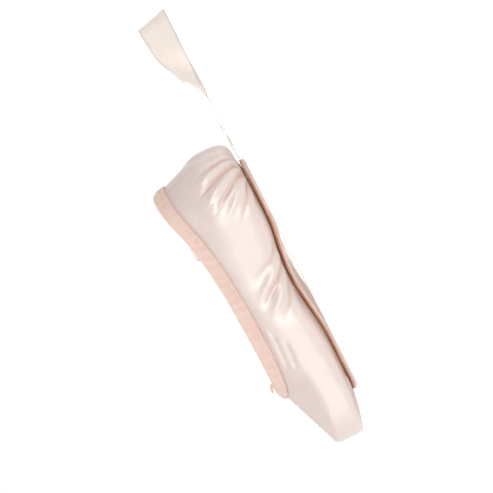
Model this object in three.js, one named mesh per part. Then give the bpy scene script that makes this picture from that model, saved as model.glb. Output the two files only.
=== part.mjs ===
// Pointe shoe: a satin upper with a stiffened toe box, closed underneath by an insole and a leather outsole.
// Millimetres. +X runs from heel to toe, +Z is up and the XZ plane is the plane of symmetry.
import * as THREE from "three";

// Plan of the widest line: a heel curve and a toe curve about two pivots, joined by the waist.
const HEEL_PIVOT_X = -84;
const HEEL_REACH = 34;
const HEEL_HALF_WIDTH = 30.5;
const HEEL_SQUARENESS = 2.25;
const WAIST_X = -42;
const WAIST_HALF_WIDTH = 30;
const TOE_PIVOT_X = 8;
const TOE_REACH = 115;
const BALL_HALF_WIDTH = 38;
const TOE_SQUARENESS = 3.2;
const PLATFORM_REACH = 110.26;
const PLATFORM_EDGE_SHARPNESS = 48;

// Sections of the upper, from the middle of the heel round one side to the middle of the toe.
// x: place of the widest point; sole, top: share of the radius at the sole's edge and at the top edge;
// topZ: height of the top edge; under, rise: slope of the underside and of the top in degrees;
// lower, upper: reach of the two rounded corners of the section.
const SECTIONS = [
  { at: "heel back", x: -118, sole: 0.56, top: 0.66, topZ: 62, under: 12, rise: 70, lower: 12, upper: 8 },
  { at: "heel curve", x: -107, sole: 0.59, top: 0.69, topZ: 60, under: 12, rise: 71, lower: 12, upper: 8 },
  { at: "heel side", x: -84, sole: 0.67, top: 0.8, topZ: 55, under: 13, rise: 73, lower: 11, upper: 11 },
  { at: "waist", x: -42, sole: 0.47, top: 0.88, topZ: 50, under: 13, rise: 74, lower: 11, upper: 11 },
  { at: "joint", x: 8, sole: 0.6, top: 0.86, topZ: 48.5, under: 11, rise: 73, lower: 10, upper: 11 },
  { at: "ball", x: 46, sole: 0.72, top: 0.765, topZ: 49, under: 10, rise: 58, lower: 8, upper: 11 },
  { at: "box side", x: 84, sole: 0.735, top: 0.595, topZ: 49.5, under: 10, rise: 31, lower: 6, upper: 9 },
  { at: "corner", x: 110, sole: 0.69, top: 0.495, topZ: 49.9, under: 10, rise: 20, lower: 4.5, upper: 7 },
  { at: "tip", x: 118, sole: 0.77, top: 0.47, topZ: 50, under: 9, rise: 18, lower: 4, upper: 6.5 },
];
const WALL_ROUNDED = 0.92;
const CORNER_EASE = { start: 0.4, middle: 0.8 };
const WALL = 2;
const GAP = 0.3;
const LASTING_MARGIN = 5;

// Outsole and insole.
const SOLE_THICKNESS = 3;
const SOLE_BEVEL = 0.9;
const ARCH = { backX: -72, frontX: 30, height: 4.2 };
const TOE_SPRING = { fromX: 70, perSquare: 0.0032 };
const HEEL_SPRING = { fromX: -94, perSquare: 0.006 };
const INSOLE_THICKNESS = 1.2;
const INSOLE_OVERLAP = 3.5;
const INSOLE_REACH = 0.9;

// Binding tape folded over the top edge.
const BINDING_DEPTH = 8.5;
const BINDING_THICKNESS = 0.9;
const BINDING_CROWN = 0.5;

// Drawstring: the knot at the middle of the throat, its points across, down the vamp and out of it.
const STRING_DIAMETER = 1.3;
const STRING_DEPTH = 5.2;
const STRING_LIFT = 1.1;
const KNOT = [
  { across: -4.6, down: 9.2, out: 0 },
  { across: -3.1, down: 5.4, out: 0.1 },
  { across: -1.7, down: 2, out: 0.4 },
  { across: 0.7, down: -1.7, out: 1.1 },
  { across: 2.3, down: -0.9, out: 2.4 },
  { across: 0.9, down: 1.5, out: 3 },
  { across: -1.9, down: 1, out: 2.6 },
  { across: -2.4, down: -1.2, out: 1.4 },
  { across: -0.6, down: -2.6, out: 0.2 },
  { across: 1.6, down: -1, out: -0.2 },
  { across: 2.5, down: 3.2, out: 0 },
  { across: 4.3, down: 8.3, out: 0 },
];

// Ribbons, sewn inside the quarters and let down together over the far side onto the floor.
// Route rows: z is the height of the ribbon's lower edge, lean its tilt on edge in degrees.
const RIBBON_WIDTH = 22;
const RIBBON_THICKNESS = 0.6;
const RIBBON_SEWN_X = -50;
const RIBBON_SEWN_DEPTHS = [23, 15, 7.6];
const RIBBON_CLEARANCE = 0.7;
const RIBBON_SADDLE = 2.4;
const RIBBON_STACK = 2.6;
const RIBBON_STEEP_BELOW = 0.5;
const NEAR_ACROSS = [
  { x: -50, y: 16, z: 38, lean: 0 },
  { x: -50, y: 5, z: 34.5, lean: 0 },
  { x: -50, y: -6, z: 36, lean: 0 },
  { x: -50, y: -15, z: 43.5, lean: 0 },
];
const NEAR_ROUTE = [
  { x: -49, y: -43.5, z: 24, lean: 0 },
  { x: -48, y: -46.5, z: 13, lean: 0 },
  { x: -44, y: -53, z: 6, lean: 0 },
  { x: -33, y: -64, z: 4, lean: 0 },
  { x: -12, y: -73, z: 1.5, lean: 6 },
  { x: 16, y: -75, z: 3.2, lean: 0 },
  { x: 45, y: -72, z: 1.2, lean: 4 },
  { x: 71, y: -70, z: 3, lean: 24 },
  { x: 95, y: -75, z: 1.5, lean: 62 },
  { x: 109, y: -91, z: 1.5, lean: 80 },
  { x: 95, y: -107, z: 1.5, lean: 62 },
  { x: 70, y: -111, z: 3, lean: 22 },
  { x: 42, y: -108, z: 1.2, lean: 0 },
  { x: 12, y: -104, z: 2.8, lean: 0 },
  { x: -29, y: -105, z: 1.2, lean: 0 },
];
const FAR_ROUTE = [
  { x: -51, y: -39.5, z: 24, lean: 0 },
  { x: -52, y: -41.5, z: 10, lean: 0 },
  { x: -54, y: -48, z: 2.2, lean: 0 },
  { x: -60, y: -60, z: 1.2, lean: 0 },
  { x: -76, y: -75, z: 2.8, lean: 0 },
  { x: -101, y: -83, z: 1.2, lean: 4 },
  { x: -127, y: -84, z: 3, lean: 24 },
  { x: -151, y: -90, z: 1.5, lean: 62 },
  { x: -167, y: -109, z: 1.5, lean: 80 },
  { x: -151, y: -128, z: 1.5, lean: 62 },
  { x: -125, y: -135, z: 3, lean: 24 },
  { x: -97, y: -135, z: 1.2, lean: 0 },
  { x: -67, y: -132, z: 3.2, lean: 0 },
  { x: -38, y: -131, z: 1.2, lean: 0 },
  { x: -9, y: -134, z: 2.8, lean: 0 },
  { x: 23, y: -138, z: 1.2, lean: 0 },
  { x: 43, y: -136, z: 1.2, lean: 0 },
];

// Mesh steps.
const ROUND = 88;
const SECTION_STEPS = [2, 4, 2, 4, 3];
const RIBBON_STEPS = 80;
const STRING_SIDES = 8;
const STRING_STEPS = 44;
const PLAN_SAMPLES = 240;
const SECTION_END = 5;
const SLOPE_STEP = { t: 0.02, round: 0.002 };
const TINY = 1e-6;

const radians = THREE.MathUtils.degToRad;

// Radius of a rounded oblong at an angle from its long axis.
function oblongRadius(angle, reach, halfWidth, squareness) {
  const along = Math.abs(Math.cos(angle) / reach) ** squareness;
  const across = Math.abs(Math.sin(angle) / halfWidth) ** squareness;
  return (along + across) ** (-1 / squareness);
}

function toeRadius(angle) {
  const oblong = oblongRadius(angle, TOE_REACH, BALL_HALF_WIDTH, TOE_SQUARENESS);
  const platform = PLATFORM_REACH / Math.max(Math.cos(angle), TINY);
  const p = PLATFORM_EDGE_SHARPNESS;
  return (oblong ** -p + platform ** -p) ** (-1 / p);
}

// Cubic spline through rising places, level at both ends.
function levelSpline(places, values) {
  const n = places.length;
  const slope = new Array(n).fill(0);
  const lower = new Array(n).fill(0);
  for (let i = 1; i < n - 1; i += 1) {
    const before = places[i] - places[i - 1];
    const after = places[i + 1] - places[i];
    const pull = (3 * (values[i] - values[i - 1]) * after) / before;
    const push = (3 * (values[i + 1] - values[i]) * before) / after;
    const pivot = 2 * (before + after) - after * lower[i - 1];
    lower[i] = before / pivot;
    slope[i] = (pull + push - after * slope[i - 1]) / pivot;
  }
  for (let i = n - 2; i > 0; i -= 1) {
    slope[i] -= lower[i] * slope[i + 1];
  }
  return (place) => {
    let i = 0;
    while (i < n - 2 && place > places[i + 1]) {
      i += 1;
    }
    const span = places[i + 1] - places[i];
    const t = THREE.MathUtils.clamp((place - places[i]) / span, 0, 1);
    const rise = values[i + 1] - values[i];
    const bendIn = slope[i] * span - rise;
    const bendOut = rise - slope[i + 1] * span;
    return values[i] + t * rise + t * (1 - t) * (bendIn * (1 - t) + bendOut * t);
  };
}

const bodyHalfWidth = levelSpline(
  [HEEL_PIVOT_X, WAIST_X, TOE_PIVOT_X],
  [HEEL_HALF_WIDTH, WAIST_HALF_WIDTH, BALL_HALF_WIDTH],
);

// One side of the widest line: for each sample its pivot, direction and radius.
function planSamples() {
  const samples = [];
  for (let k = 0; k < PLAN_SAMPLES; k += 1) {
    const angle = (Math.PI / 2) * (k / PLAN_SAMPLES);
    const radius = oblongRadius(angle, HEEL_REACH, HEEL_HALF_WIDTH, HEEL_SQUARENESS);
    samples.push({ pivotX: HEEL_PIVOT_X, heading: Math.PI - angle, radius });
  }
  for (let k = 0; k < PLAN_SAMPLES; k += 1) {
    const x = THREE.MathUtils.lerp(HEEL_PIVOT_X, TOE_PIVOT_X, k / PLAN_SAMPLES);
    samples.push({ pivotX: x, heading: Math.PI / 2, radius: bodyHalfWidth(x) });
  }
  for (let k = 0; k <= PLAN_SAMPLES; k += 1) {
    const angle = (Math.PI / 2) * (1 - k / PLAN_SAMPLES);
    samples.push({ pivotX: TOE_PIVOT_X, heading: angle, radius: toeRadius(angle) });
  }
  let travelled = 0;
  samples.forEach((sample, k) => {
    sample.x = sample.pivotX + sample.radius * Math.cos(sample.heading);
    sample.y = sample.radius * Math.sin(sample.heading);
    if (k > 0) {
      travelled += Math.hypot(sample.x - samples[k - 1].x, sample.y - samples[k - 1].y);
    }
    sample.travelled = travelled;
  });
  return samples;
}

const PLAN = planSamples();
const HALF_ROUND = PLAN[PLAN.length - 1].travelled;

// Place on the widest line after a distance from the middle of the heel.
function planAt(distance) {
  let k = 1;
  while (k < PLAN.length - 1 && PLAN[k].travelled < distance) {
    k += 1;
  }
  const from = PLAN[k - 1];
  const to = PLAN[k];
  const t = THREE.MathUtils.clamp((distance - from.travelled) / (to.travelled - from.travelled), 0, 1);
  return {
    pivotX: THREE.MathUtils.lerp(from.pivotX, to.pivotX, t),
    heading: THREE.MathUtils.lerp(from.heading, to.heading, t),
    radius: THREE.MathUtils.lerp(from.radius, to.radius, t),
  };
}

function distanceAtX(x) {
  const k = PLAN.findIndex((sample) => sample.x >= x - TINY);
  return k < 0 ? HALF_ROUND : PLAN[k].travelled;
}

const SECTION_PLACES = SECTIONS.map((row) => distanceAtX(row.x));
SECTION_PLACES[SECTIONS.length - 1] = HALF_ROUND;

const SECTION_SIZES = {};
["sole", "top", "topZ", "under", "rise", "lower", "upper"].forEach((column) => {
  SECTION_SIZES[column] = levelSpline(SECTION_PLACES, SECTIONS.map((row) => row[column]));
});

// Height of the outsole's underside above the floor.
function lift(x) {
  let height = 0;
  if (x > ARCH.backX && x < ARCH.frontX) {
    height += ARCH.height * Math.sin((Math.PI * (x - ARCH.backX)) / (ARCH.frontX - ARCH.backX)) ** 2;
  }
  height += TOE_SPRING.perSquare * Math.max(0, x - TOE_SPRING.fromX) ** 2;
  height += HEEL_SPRING.perSquare * Math.max(0, HEEL_SPRING.fromX - x) ** 2;
  return height;
}

// Way round the loop, 0 to 1 from the middle of the heel and back to it, as a distance and a side.
function placeRound(round) {
  const turn = round - Math.floor(round);
  const side = turn <= 0.5 ? 1 : -1;
  const distance = (side > 0 ? turn : 1 - turn) * 2 * HALF_ROUND;
  return { side, distance };
}

function toward(from, to, length) {
  return from.clone().add(to.clone().sub(from).setLength(length));
}

// Corner eased between two points so that it leaves both straight legs without a break.
function easedCorner(from, corner, to, t) {
  const legs = [
    from,
    from.clone().lerp(corner, CORNER_EASE.start),
    from.clone().lerp(corner, CORNER_EASE.middle),
    to.clone().lerp(corner, CORNER_EASE.middle),
    to.clone().lerp(corner, CORNER_EASE.start),
    to,
  ];
  while (legs.length > 1) {
    for (let k = 0; k < legs.length - 1; k += 1) {
      legs[k] = legs[k].clone().lerp(legs[k + 1], t);
    }
    legs.pop();
  }
  return legs[0];
}

// Section of the upper's outside in its own plane, as (radius, height), for t from 0 to SECTION_END:
// underside, lower corner, wall, upper corner and roof.
function sectionPoint(distance, t) {
  const { pivotX, heading, radius } = planAt(distance);
  const size = (column) => SECTION_SIZES[column](distance);
  const bottomRadius = radius * size("sole") - LASTING_MARGIN;
  const bottomZ = lift(pivotX + bottomRadius * Math.cos(heading)) + SOLE_THICKNESS + GAP;
  const topRadius = radius * size("top");
  const bottom = new THREE.Vector2(bottomRadius, bottomZ);
  const top = new THREE.Vector2(topRadius, size("topZ"));
  const lowZ = bottomZ + (radius - bottomRadius) * Math.tan(radians(size("under")));
  const highZ = top.y - (radius - topRadius) * Math.tan(radians(size("rise")));
  const low = new THREE.Vector2(radius, lowZ);
  const high = new THREE.Vector2(radius, highZ);
  const fit = Math.min(1, (WALL_ROUNDED * (highZ - lowZ)) / (size("lower") + size("upper")));
  const lowIn = toward(low, bottom, size("lower") * fit);
  const lowOut = toward(low, high, size("lower") * fit);
  const highIn = toward(high, low, size("upper") * fit);
  const highOut = toward(high, top, size("upper") * fit);
  const piece = Math.min(SECTION_END - 1, Math.floor(t));
  const part = t - piece;
  if (piece === 0) {
    return bottom.lerp(lowIn, part);
  }
  if (piece === 1) {
    return easedCorner(lowIn, low, lowOut, part);
  }
  if (piece === 2) {
    return lowOut.lerp(highIn, part);
  }
  if (piece === 3) {
    return easedCorner(highIn, high, highOut, part);
  }
  return highOut.lerp(top, part);
}

function bodyPoint(round, t) {
  const { side, distance } = placeRound(round);
  const { pivotX, heading } = planAt(distance);
  const flat = sectionPoint(distance, t);
  return new THREE.Vector3(pivotX + flat.x * Math.cos(heading), side * flat.x * Math.sin(heading), flat.y);
}

// Frame of the outside of the upper: point, way up the section and way out of the wall.
function bodyFrame(round, t) {
  const point = bodyPoint(round, t);
  const below = bodyPoint(round, Math.max(0, t - SLOPE_STEP.t));
  const above = bodyPoint(round, Math.min(SECTION_END, t + SLOPE_STEP.t));
  const up = above.sub(below).normalize();
  const before = bodyPoint(round - SLOPE_STEP.round, t);
  const along = bodyPoint(round + SLOPE_STEP.round, t).sub(before).normalize();
  const out = up.clone().cross(along).normalize();
  return { point, up, out };
}

function offsetPoint(frame, out, up = 0) {
  return frame.point.clone().addScaledVector(frame.out, out).addScaledVector(frame.up, up);
}

// Value of t at a depth below the top edge, measured down the section.
function depthToT(round, depth) {
  const { distance } = placeRound(round);
  let t = SECTION_END;
  let last = sectionPoint(distance, t);
  let travelled = 0;
  while (travelled < depth && t > 0) {
    t -= SLOPE_STEP.t;
    const next = sectionPoint(distance, t);
    travelled += next.distanceTo(last);
    last = next;
  }
  return t;
}

function geometryFrom(points, triangles) {
  const geometry = new THREE.BufferGeometry();
  const positions = points.flatMap((point) => [point.x, point.y, point.z]);
  geometry.setAttribute("position", new THREE.Float32BufferAttribute(positions, 3));
  geometry.setIndex(triangles);
  geometry.computeVertexNormals();
  return geometry;
}

// Solid ring: closed sections of equal count, joined round in a closed loop.
function ringOfSections(sections) {
  const count = sections[0].length;
  const triangles = [];
  sections.forEach((_, i) => {
    const next = (i + 1) % sections.length;
    for (let j = 0; j < count; j += 1) {
      const k = (j + 1) % count;
      const [a, b, c, d] = [i * count + j, next * count + j, next * count + k, i * count + k];
      triangles.push(a, c, b, a, d, c);
    }
  });
  return geometryFrom(sections.flat(), triangles);
}

// Solid slab: outlines stacked from bottom to top, closed by ladders from side to side.
function stackOfOutlines(outlines) {
  const count = outlines[0].length;
  const triangles = [];
  for (let level = 0; level < outlines.length - 1; level += 1) {
    for (let i = 0; i < count; i += 1) {
      const next = (i + 1) % count;
      const [a, b] = [level * count + i, level * count + next];
      const [c, d] = [(level + 1) * count + next, (level + 1) * count + i];
      triangles.push(a, c, b, a, d, c);
    }
  }
  const ladder = (base, flip) => {
    for (let i = 0; i < count / 2; i += 1) {
      const [a, b] = [base + i, base + i + 1];
      const [c, d] = [base + ((count - i - 1) % count), base + ((count - i) % count)];
      const rungs = [[a, b, c], [a, c, d]];
      rungs.forEach(([p, q, r]) => {
        if (p !== q && q !== r && r !== p) {
          triangles.push(...(flip ? [p, q, r] : [p, r, q]));
        }
      });
    }
  };
  ladder(0, true);
  ladder((outlines.length - 1) * count, false);
  return geometryFrom(outlines.flat(), triangles);
}

// Solid strip: closed sections of four, joined in a row and closed at both ends.
// Upper and lower face are split along the same diagonal, so that a twist keeps its thickness.
function rowOfSections(sections) {
  const count = sections[0].length;
  const triangles = [];
  for (let i = 0; i < sections.length - 1; i += 1) {
    for (let j = 0; j < count; j += 1) {
      const k = (j + 1) % count;
      const [a, b] = [i * count + j, (i + 1) * count + j];
      const [c, d] = [(i + 1) * count + k, i * count + k];
      triangles.push(...(j < count / 2 ? [a, c, b, a, d, c] : [a, d, b, b, d, c]));
    }
  }
  const last = (sections.length - 1) * count;
  for (let j = 1; j < count - 1; j += 1) {
    triangles.push(0, j + 1, j, last, last + j, last + j + 1);
  }
  return geometryFrom(sections.flat(), triangles);
}

const rounds = Array.from({ length: ROUND }, (_, i) => i / ROUND);

// Values of t for the points of one section.
function sectionSteps() {
  const steps = [0];
  SECTION_STEPS.forEach((count, piece) => {
    for (let k = 1; k <= count; k += 1) {
      steps.push(piece + k / count);
    }
  });
  return steps;
}

function upperGeometry() {
  const steps = sectionSteps();
  const sections = rounds.map((round) => {
    const frames = steps.map((t) => bodyFrame(round, t));
    const outside = frames.map((frame) => frame.point);
    const inside = frames.map((frame) => offsetPoint(frame, -WALL)).reverse();
    return [...outside, ...inside];
  });
  return ringOfSections(sections);
}

// Outline of the outsole, a distance inside its edge, at a height above its underside.
function soleOutline(inset, height) {
  return rounds.map((round) => {
    const { side, distance } = placeRound(round);
    const { pivotX, heading, radius } = planAt(distance);
    const reach = radius * SECTION_SIZES.sole(distance) - inset;
    const x = pivotX + reach * Math.cos(heading);
    return new THREE.Vector3(x, side * reach * Math.sin(heading), lift(x) + height);
  });
}

function outsoleGeometry() {
  return stackOfOutlines([
    soleOutline(SOLE_BEVEL, 0),
    soleOutline(0, SOLE_BEVEL),
    soleOutline(0, SOLE_THICKNESS),
  ]);
}

// The insole fills the opening under the foot and lies over the lasting margin inside.
function insoleGeometry() {
  const rims = rounds.map((round) => bodyFrame(round, 0));
  const plug = rims.map((rim, i) => {
    const next = rims[(i + 1) % ROUND].point;
    const last = rims[(i + ROUND - 1) % ROUND].point;
    const inward = new THREE.Vector3(next.y - last.y, last.x - next.x, 0).normalize();
    return offsetPoint(rim, -WALL).addScaledVector(inward, GAP);
  });
  const plate = rounds.map((round) => {
    const { distance } = placeRound(round);
    const underside = sectionPoint(distance, 0).distanceTo(sectionPoint(distance, 1));
    const reach = Math.min(INSOLE_REACH, INSOLE_OVERLAP / underside);
    return offsetPoint(bodyFrame(round, reach), -WALL - GAP);
  });
  const raised = (points, height) => points.map((point) => point.clone().setZ(point.z + height));
  return stackOfOutlines([
    plug.map((point, i) => point.clone().setZ(rims[i].point.z)),
    raised(plug, GAP),
    plate,
    raised(plate, INSOLE_THICKNESS),
  ]);
}

function bindingGeometry() {
  const near = GAP;
  const far = GAP + BINDING_THICKNESS;
  const sections = rounds.map((round) => {
    const levels = [0, 0.5, 1].map((share) => bodyFrame(round, depthToT(round, share * BINDING_DEPTH)));
    const [edge, middle, hem] = levels;
    return [
      offsetPoint(hem, far),
      offsetPoint(middle, far + BINDING_CROWN),
      offsetPoint(edge, far),
      offsetPoint(edge, -WALL / 2, far + BINDING_CROWN),
      offsetPoint(edge, -WALL - far),
      offsetPoint(middle, -WALL - far),
      offsetPoint(hem, -WALL - far),
      offsetPoint(hem, -WALL - near),
      offsetPoint(middle, -WALL - near),
      offsetPoint(edge, -WALL - near, near),
      offsetPoint(edge, near, near),
      offsetPoint(middle, near),
      offsetPoint(hem, near),
    ];
  });
  return ringOfSections(sections);
}

// The knot lies on the binding at the middle of the throat.
function drawstringGeometry() {
  const seat = bodyFrame(0.5, depthToT(0.5, STRING_DEPTH));
  const lowest = GAP + BINDING_THICKNESS + BINDING_CROWN + STRING_LIFT;
  const across = new THREE.Vector3(0, 1, 0);
  const points = KNOT.map((row) => {
    const point = offsetPoint(seat, lowest + row.out, -row.down);
    return point.addScaledVector(across, row.across);
  });
  const section = new THREE.Shape();
  section.absarc(0, 0, STRING_DIAMETER / 2, 0, 2 * Math.PI);
  return new THREE.ExtrudeGeometry(section, {
    steps: STRING_STEPS,
    curveSegments: STRING_SIDES,
    extrudePath: new THREE.CatmullRomCurve3(points),
  });
}

// Round value on one side of the shoe whose widest point has this x.
function roundAtX(x, side) {
  const round = distanceAtX(x) / (2 * HALF_ROUND);
  return side > 0 ? round : 1 - round;
}

// Points of a ribbon where it is sewn inside the quarter, from its end up to the top edge.
function sewnPoints(side) {
  const round = roundAtX(RIBBON_SEWN_X, side);
  const inside = -WALL - GAP - BINDING_THICKNESS - RIBBON_CLEARANCE - RIBBON_THICKNESS / 2;
  return RIBBON_SEWN_DEPTHS.map((depth) => {
    const frame = bodyFrame(round, depthToT(round, depth));
    return offsetPoint(frame, inside);
  });
}

// Points of a ribbon over the binding, from inside to outside.
function overEdgePoints(side, stack) {
  const edge = bodyFrame(roundAtX(RIBBON_SEWN_X, side), SECTION_END);
  const tape = GAP + BINDING_THICKNESS + BINDING_CROWN;
  const clear = tape + RIBBON_CLEARANCE + RIBBON_THICKNESS / 2 + stack;
  return [
    offsetPoint(edge, -WALL - clear, 0),
    offsetPoint(edge, -WALL / 2, clear + RIBBON_SADDLE),
    offsetPoint(edge, clear + RIBBON_SADDLE, 0),
    offsetPoint(edge, clear + RIBBON_SADDLE, -BINDING_DEPTH),
  ];
}

function levelStops(points) {
  return points.map((point) => ({ point, lean: 0 }));
}

function routeStops(rows) {
  return rows.map((row) => {
    const lean = radians(row.lean);
    const middle = row.z + (RIBBON_WIDTH / 2) * Math.sin(lean);
    return { point: new THREE.Vector3(row.x, row.y, middle), lean };
  });
}

// A ribbon keeps its width level along its route, apart from its lean.
function ribbonGeometry(stops) {
  const route = new THREE.CatmullRomCurve3(stops.map((stop) => stop.point), false, "centripetal");
  const up = new THREE.Vector3(0, 0, 1);
  const sections = [];
  let across = new THREE.Vector3(1, 0, 0);
  for (let k = 0; k <= RIBBON_STEPS; k += 1) {
    const point = route.getPointAt(k / RIBBON_STEPS);
    const tangent = route.getTangentAt(k / RIBBON_STEPS);
    const place = route.getUtoTmapping(k / RIBBON_STEPS) * (stops.length - 1);
    const before = Math.min(stops.length - 2, Math.floor(place));
    const lean = THREE.MathUtils.lerp(stops[before].lean, stops[before + 1].lean, place - before);
    const level = new THREE.Vector3(tangent.x, tangent.y, 0);
    if (level.length() > RIBBON_STEEP_BELOW) {
      const side = up.clone().cross(level).normalize();
      across = across.dot(side) < 0 ? side.negate() : side;
    }
    const square = across.clone().addScaledVector(tangent, -across.dot(tangent)).normalize();
    square.applyAxisAngle(tangent, lean);
    const face = tangent.clone().cross(square).normalize();
    const half = square.clone().multiplyScalar(RIBBON_WIDTH / 2);
    const skin = face.clone().multiplyScalar(RIBBON_THICKNESS / 2);
    sections.push([
      point.clone().add(half).add(skin),
      point.clone().sub(half).add(skin),
      point.clone().sub(half).sub(skin),
      point.clone().add(half).sub(skin),
    ]);
  }
  return rowOfSections(sections);
}

const group = new THREE.Group();

function addPiece(name, geometry, slot, colour, roughness) {
  const material = new THREE.MeshStandardMaterial({ name: slot, color: colour, roughness });
  const mesh = new THREE.Mesh(geometry, material);
  mesh.name = name;
  group.add(mesh);
}

addPiece("upper", upperGeometry(), "satin", 0xebd8cf, 0.4);
addPiece("outsole", outsoleGeometry(), "sole_leather", 0xd9bfae, 0.7);
addPiece("insole", insoleGeometry(), "lining", 0xe6d3c2, 0.9);
addPiece("binding", bindingGeometry(), "binding_tape", 0xedd0c2, 0.8);
addPiece("drawstring", drawstringGeometry(), "drawstring_cord", 0xf0dfcf, 0.9);
addPiece("ribbon_near", ribbonGeometry([
  ...levelStops(sewnPoints(1)),
  ...routeStops(NEAR_ACROSS),
  ...levelStops(overEdgePoints(-1, RIBBON_STACK)),
  ...routeStops(NEAR_ROUTE),
]), "ribbon_satin", 0xece2d8, 0.4);
addPiece("ribbon_far", ribbonGeometry([
  ...levelStops(sewnPoints(-1)),
  ...levelStops(overEdgePoints(-1, 0)),
  ...routeStops(FAR_ROUTE),
]), "ribbon_satin", 0xece2d8, 0.4);

export default group;
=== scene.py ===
import math
import bpy
import numpy as np
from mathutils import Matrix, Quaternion, Vector


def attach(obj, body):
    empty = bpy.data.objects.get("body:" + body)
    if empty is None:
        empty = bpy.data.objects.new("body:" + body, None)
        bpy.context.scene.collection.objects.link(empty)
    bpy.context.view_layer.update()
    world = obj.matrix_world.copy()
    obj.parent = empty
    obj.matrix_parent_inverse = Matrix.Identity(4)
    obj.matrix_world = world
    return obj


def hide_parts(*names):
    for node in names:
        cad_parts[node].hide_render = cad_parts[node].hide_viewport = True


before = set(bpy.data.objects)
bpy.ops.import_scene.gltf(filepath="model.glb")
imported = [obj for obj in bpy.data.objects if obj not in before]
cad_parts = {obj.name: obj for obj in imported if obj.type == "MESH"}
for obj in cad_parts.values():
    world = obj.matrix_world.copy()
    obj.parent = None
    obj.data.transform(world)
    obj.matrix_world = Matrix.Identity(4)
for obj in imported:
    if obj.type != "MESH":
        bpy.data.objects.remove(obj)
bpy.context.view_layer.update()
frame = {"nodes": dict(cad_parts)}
mm = 0.001
draw = np.random.default_rng(11)
print("frame:", ", ".join(frame["nodes"]))

# camera just clear of the floor at the shoe's side, rolled so that the toe points down to the right
photoView = {
    "aim": (-0.046, 0.0, 0.024),
    "distance": 1.5,
    "azimuth": 213,     # 180 is square to the side, more is from the heel
    "height": 0.012,
    "roll": -117,
    "across": 0.320,    # metres across the picture at the aim
}


def placeAimed(name, data, place, aim):    # a camera or lamp that looks at its aim
    placed = bpy.data.objects.new(name, data)
    placed.location = place
    placed.rotation_mode = "QUATERNION"
    placed.rotation_quaternion = (Vector(aim) - Vector(place)).to_track_quat("-Z", "Y")
    bpy.context.collection.objects.link(placed)
    return placed


def makeCamera(view):
    turn = math.radians(view["azimuth"])
    aim = Vector(view["aim"])
    place = aim + view["distance"] * Vector((math.sin(turn), -math.cos(turn), 0))
    place.z = view["height"]
    data = bpy.data.cameras.new("camera")
    data.lens = data.sensor_width * view["distance"] / view["across"]
    camera = placeAimed("camera", data, place, aim)
    roll = Quaternion((0, 0, 1), math.radians(view["roll"]))
    camera.rotation_quaternion = camera.rotation_quaternion @ roll
    bpy.context.scene.camera = camera


makeCamera(photoView)

# the last, in millimetres, with the same sizes as the solids
last = {
    "heelPivotX": -84, "heelReach": 34, "heelHalfWidth": 30.5, "heelSquareness": 2.25,
    "waistX": -42, "waistHalfWidth": 30,
    "toePivotX": 8, "toeReach": 115, "ballHalfWidth": 38, "toeSquareness": 3.2,
    "platformReach": 110.26, "platformEdge": 48,
    "wall": 2, "gap": 0.3, "lastingMargin": 5, "wallRounded": 0.92,
    "easeStart": 0.4, "easeMiddle": 0.8,
    "soleThickness": 3, "soleBevel": 0.9,
    "archBackX": -72, "archFrontX": 30, "archHeight": 4.2,
    "toeSpringFromX": 70, "toeSpring": 0.0032, "heelSpringFromX": -94, "heelSpring": 0.006,
    "sectionEnd": 5, "planSamples": 960,
}
sectionColumns = ("x", "sole", "top", "topZ", "under", "rise", "lower", "upper")
sectionRows = {
    "heel back": (-118, 0.56, 0.66, 62, 12, 70, 12, 8),
    "heel curve": (-107, 0.59, 0.69, 60, 12, 71, 12, 8),
    "heel side": (-84, 0.67, 0.8, 55, 13, 73, 11, 11),
    "waist": (-42, 0.47, 0.88, 50, 13, 74, 11, 11),
    "joint": (8, 0.6, 0.86, 48.5, 11, 73, 10, 11),
    "ball": (46, 0.72, 0.765, 49, 10, 58, 8, 11),
    "box side": (84, 0.735, 0.595, 49.5, 10, 31, 6, 9),
    "corner": (110, 0.69, 0.495, 49.9, 10, 20, 4.5, 7),
    "tip": (118, 0.77, 0.47, 50, 9, 18, 4, 6.5),
}


def unit(vectors):
    return vectors / np.linalg.norm(vectors, axis=-1, keepdims=True)


def turns(count):    # angles once round
    return np.linspace(0, 2 * math.pi, count, endpoint=False)


def runAlong(line):    # distance along a line at each of its points
    return np.append(0, np.cumsum(np.linalg.norm(np.diff(line, axis=0), axis=1)))


def rowsAt(where, run, rows):    # rows of x, y and z read at places along their run
    return np.stack([np.interp(where, run, rows[:, k]) for k in range(3)], -1)


def bell(off, width):
    return np.exp(-(off / width) ** 2)


def eased(share):
    share = np.clip(share, 0, 1)
    return share * share * (3 - 2 * share)


def oblongRadius(angle, reach, halfWidth, squareness):
    along = np.abs(np.cos(angle) / reach) ** squareness
    across = np.abs(np.sin(angle) / halfWidth) ** squareness
    return (along + across) ** (-1 / squareness)


def toeRadius(angle):
    oblong = oblongRadius(angle, last["toeReach"], last["ballHalfWidth"], last["toeSquareness"])
    platform = last["platformReach"] / np.maximum(np.cos(angle), 1e-6)
    power = last["platformEdge"]
    return (oblong ** -power + platform ** -power) ** (-1 / power)


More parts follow.
